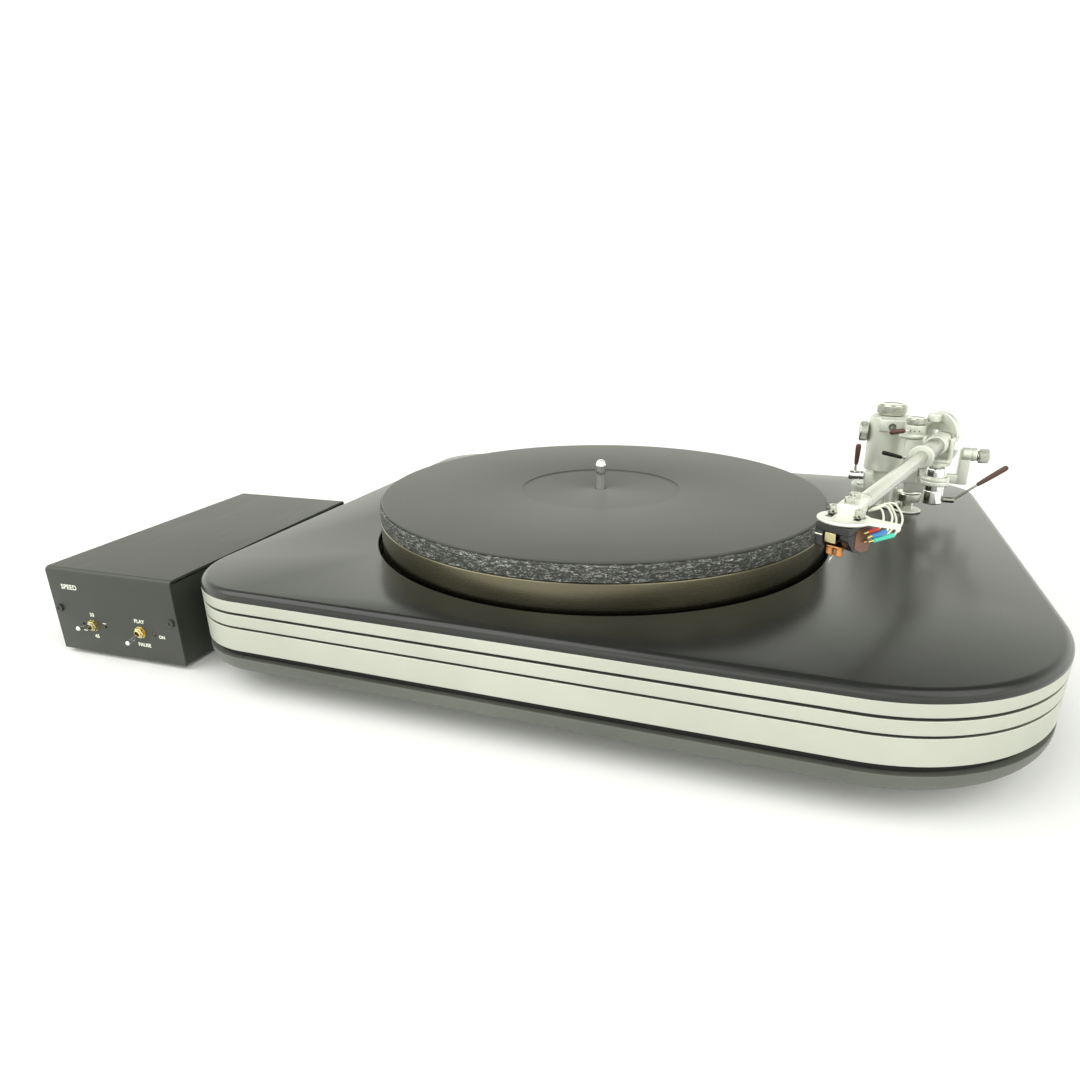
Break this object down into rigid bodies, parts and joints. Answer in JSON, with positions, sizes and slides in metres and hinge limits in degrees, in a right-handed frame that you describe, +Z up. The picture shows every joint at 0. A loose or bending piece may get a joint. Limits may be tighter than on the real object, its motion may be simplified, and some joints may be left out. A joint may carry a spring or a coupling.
{
  "type": "turntable record player",
  "caption": "Belt-drive record player: layered rounded plinth, thick platter, pivoted tonearm on a height tower, and a separate control box with two toggle switches.",
  "frame": {"origin": "on the supporting surface, under the middle of the bounding box of plinth and control unit together", "axes": "+Z up, +Y from the player's front to its back, +X to the right along the plinth's front edge"},
  "size_m": [0.5979, 0.3914, 0.1429],
  "materials": {
    "black_lacquer": "satin black lacquer",
    "brushed_aluminium": "clear anodised, fine brushed edge",
    "satin_silver": "satin anodised silver",
    "chrome": "polished",
    "rubber": "matt black",
    "graphite": "speckled graphite composite",
    "bronze_anodised": "dark bronze anodised",
    "mat_vinyl": "black with fine turned grooves",
    "steel": "turned steel",
    "brass": "turned brass",
    "black_enamel": "black textured enamel",
    "base_enamel": "dark grey textured enamel",
    "rosewood": "dark red-brown grip",
    "ivory_plastic": "bead-blasted silver headshell",
    "cartridge_black": "black",
    "board_green": "green circuit board",
    "copper": "copper windings",
    "lamp_lens": "red lens",
    "lead_red": "red sleeve, white wire",
    "lead_white": "white sleeve and wire",
    "lead_blue": "blue sleeve, white wire",
    "lead_green": "green sleeve, white wire"
  },
  "bodies": {
    "plinth": {"foot_1": "rubber", "foot_2": "rubber", "foot_3": "rubber", "base_plate": "base_enamel", "isolation_layer": "rubber", "lower_plate": "brushed_aluminium", "lower_damping_sheet": "rubber", "middle_plate": "brushed_aluminium", "upper_damping_sheet": "rubber", "upper_plate": "brushed_aluminium", "top_plate": "black_lacquer", "motor_socket": "chrome", "bearing_housing": "steel", "motor_housing": "steel", "drive_belt": "rubber", "control_cover": "black_enamel", "control_chassis": "black_enamel", "control_foot_front": "rubber", "control_foot_rear": "rubber", "speed_switch": "steel", "play_switch": "steel", "power_led": "lamp_lens", "circuit_board": "board_green", "transformer": "copper", "mains_inlet": "rubber", "lead_socket": "chrome", "arm_base": "satin_silver", "height_nut": "steel"},
    "platter": {"spindle": "steel", "drive_hub": "brushed_aluminium", "platter_body": "bronze_anodised", "graphite_layer": "graphite", "platter_mat": "mat_vinyl"},
    "pulley": {"motor_pulley": "brass"},
    "speed_lever": {"speed_toggle": "chrome"},
    "play_lever": {"play_toggle": "chrome"},
    "arm_carriage": {"height_tower": "satin_silver", "carriage_block": "satin_silver", "bearing_frame": "satin_silver", "cue_cylinder": "chrome", "side_bracket": "satin_silver"},
    "height_dial": {"height_knob": "satin_silver"},
    "azimuth_dial": {"azimuth_knob": "satin_silver"},
    "clamp_screw": {"clamp_knob": "satin_silver"},
    "bias_screw": {"bias_knob": "satin_silver"},
    "tower_lock": {"tower_lock_lever": "rosewood"},
    "azimuth_lock": {"azimuth_lever": "rosewood"},
    "rest_lock": {"rest_lever": "rubber"},
    "cueing_lever": {"cue_lever": "rosewood"},
    "cueing_lift": {"cue_platform": "chrome"},
    "arm_swivel": {"arm_yoke": "satin_silver"},
    "arm_wand": {"arm_tube": "satin_silver", "headshell": "ivory_plastic", "cartridge_body": "cartridge_black", "coil_block": "copper", "lead_red": "lead_red", "lead_white": "lead_white", "lead_blue": "lead_blue", "lead_green": "lead_green"},
    "balance_weight": {"counterweight": "steel"}
  },
  "joints": [
    {"name": "platter_spin", "type": "hinge", "parent": "plinth", "child": "platter", "pos_m": [0.03207, -0.01275, 0.08], "axis": [0, 0, -1], "continuous": true},
    {"name": "motor_spin", "type": "hinge", "parent": "plinth", "child": "pulley", "pos_m": [-0.04293, 0.05325, 0.065], "axis": [0, 0, -1], "continuous": true},
    {"name": "speed_flip", "type": "hinge", "parent": "plinth", "child": "speed_lever", "pos_m": [-0.26178, -0.18282, 0.0227], "axis": [0.9993, 0.0372, 0], "range_deg": [0, 26]},
    {"name": "play_flip", "type": "hinge", "parent": "plinth", "child": "play_lever", "pos_m": [-0.22331, -0.18139, 0.0227], "axis": [0.9993, 0.0372, 0], "range_deg": [-26, 0]},
    {"name": "height_slide", "type": "slide", "parent": "plinth", "child": "arm_carriage", "axis": [0, 0, 1], "range_m": [-0.002, 0.004]},
    {"name": "height_turn", "type": "hinge", "parent": "arm_carriage", "child": "height_dial", "pos_m": [0.22447, 0.11925, 0.1374], "axis": [0, 0, 1], "range_deg": [-360, 720]},
    {"name": "azimuth_turn", "type": "hinge", "parent": "arm_carriage", "child": "azimuth_dial", "pos_m": [0.23767, 0.07925, 0.1364], "axis": [0, 0, 1], "range_deg": [-90, 90]},
    {"name": "clamp_turn", "type": "hinge", "parent": "arm_carriage", "child": "clamp_screw", "pos_m": [0.20607, 0.11825, 0.1209], "axis": [-1, 0, 0], "range_deg": [0, 180]},
    {"name": "bias_turn", "type": "hinge", "parent": "arm_carriage", "child": "bias_screw", "pos_m": [0.28807, 0.10725, 0.1083], "axis": [1, 0, 0], "range_deg": [-360, 360]},
    {"name": "tower_lock_turn", "type": "hinge", "parent": "plinth", "child": "tower_lock", "pos_m": [0.20407, 0.10075, 0.0899], "axis": [1, 0, 0], "range_deg": [0, 70]},
    {"name": "azimuth_lock_turn", "type": "hinge", "parent": "arm_carriage", "child": "azimuth_lock", "pos_m": [0.23767, 0.07925, 0.1304], "axis": [0, 0, 1], "range_deg": [0, 25]},
    {"name": "rest_lock_turn", "type": "hinge", "parent": "arm_carriage", "child": "rest_lock", "pos_m": [0.23307, 0.07115, 0.1114], "axis": [0, 1, 0], "range_deg": [0, 50]},
    {"name": "cue_lever_turn", "type": "hinge", "parent": "arm_carriage", "child": "cueing_lever", "pos_m": [0.25057, 0.04725, 0.0889], "axis": [1, 0, 0], "range_deg": [0, 70]},
    {"name": "cue_lift", "type": "slide", "parent": "arm_carriage", "child": "cueing_lift", "axis": [0, 0, 1], "range_m": [-0.0015, 0]},
    {"name": "arm_swing", "type": "hinge", "parent": "arm_carriage", "child": "arm_swivel", "pos_m": [0.25147, 0.06325, 0.1242], "axis": [0, 0, -1], "range_deg": [0, 40]},
    {"name": "arm_tilt", "type": "hinge", "parent": "arm_swivel", "child": "arm_wand", "pos_m": [0.25147, 0.06325, 0.1242], "axis": [-0.9578, 0.2874, 0], "range_deg": [-2.5, 4.5]},
    {"name": "weight_slide", "type": "slide", "parent": "arm_wand", "child": "balance_weight", "axis": [0.2873, 0.9576, -0.0209], "range_m": [-0.001, 0.005]}
  ],
  "couplings": [
    {"joint": "motor_spin", "follows": "platter_spin", "ratio": 6.3684},
    {"joint": "height_turn", "follows": "height_slide", "rad_per_m": 3141.5},
    {"joint": "cue_lever_turn", "follows": "cue_lift", "rad_per_m": -814}
  ]
}
